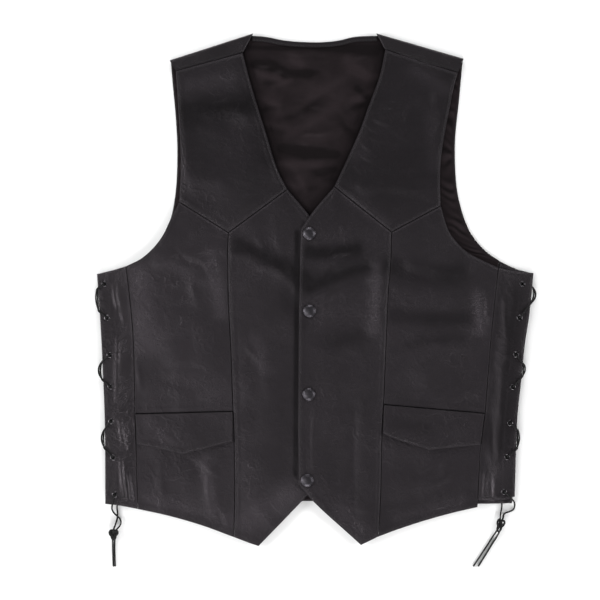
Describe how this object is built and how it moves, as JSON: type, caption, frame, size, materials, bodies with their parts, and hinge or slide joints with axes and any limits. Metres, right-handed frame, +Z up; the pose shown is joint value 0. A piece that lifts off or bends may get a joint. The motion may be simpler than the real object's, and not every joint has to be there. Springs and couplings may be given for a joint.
{
  "type": "leather vest",
  "caption": "Black leather vest laid flat, front up, with pointed yokes, pocket flaps, a snap front and laced sides.",
  "frame": {"origin": "middle of the vest's plan box, on the surface that it lies on", "axes": "+Z up out of the front, +Y towards the neck, +X to the right as the front is seen"},
  "size_m": [0.53, 0.6413, 0.0112],
  "materials": {
    "leather": "black cowhide with fine grain, soft sheen and brown-purple tint",
    "satin_lining": "dark brown-black satin",
    "eyelet_metal": "black enamelled eyelet",
    "snap_metal": "dark gunmetal snap cap",
    "lace": "round black lace"
  },
  "bodies": {
    "root": {"back_panel": "leather", "back_lining": "satin_lining", "back_neck_facing": "leather", "back_strip_left": "leather", "front_yoke_left": "leather", "front_centre_left": "leather", "front_side_left": "leather", "front_lower_left": "leather", "pocket_flap_left": "leather", "front_strip_left": "leather", "eyelet_front_left_1": "eyelet_metal", "eyelet_front_left_2": "eyelet_metal", "eyelet_front_left_3": "eyelet_metal", "eyelet_front_left_4": "eyelet_metal", "eyelet_front_left_5": "eyelet_metal", "eyelet_front_left_6": "eyelet_metal", "eyelet_front_left_7": "eyelet_metal", "eyelet_back_left_1": "eyelet_metal", "eyelet_back_left_2": "eyelet_metal", "eyelet_back_left_3": "eyelet_metal", "eyelet_back_left_4": "eyelet_metal", "eyelet_back_left_5": "eyelet_metal", "eyelet_back_left_6": "eyelet_metal", "eyelet_back_left_7": "eyelet_metal", "lacing_left": "lace", "lace_tail_left_a": "lace", "lace_tail_left_b": "lace", "lace_knot_left": "lace", "back_strip_right": "leather", "front_yoke_right": "leather", "front_centre_right": "leather", "front_side_right": "leather", "front_lower_right": "leather", "pocket_flap_right": "leather", "front_strip_right": "leather", "eyelet_front_right_1": "eyelet_metal", "eyelet_front_right_2": "eyelet_metal", "eyelet_front_right_3": "eyelet_metal", "eyelet_front_right_4": "eyelet_metal", "eyelet_front_right_5": "eyelet_metal", "eyelet_front_right_6": "eyelet_metal", "eyelet_front_right_7": "eyelet_metal", "eyelet_back_right_1": "eyelet_metal", "eyelet_back_right_2": "eyelet_metal", "eyelet_back_right_3": "eyelet_metal", "eyelet_back_right_4": "eyelet_metal", "eyelet_back_right_5": "eyelet_metal", "eyelet_back_right_6": "eyelet_metal", "eyelet_back_right_7": "eyelet_metal", "lacing_right": "lace", "lace_tail_right_a": "lace", "lace_tail_right_b": "lace", "lace_knot_right": "lace", "snap_1": "snap_metal", "snap_2": "snap_metal", "snap_3": "snap_metal", "snap_4": "snap_metal"}
  },
  "joints": []
}
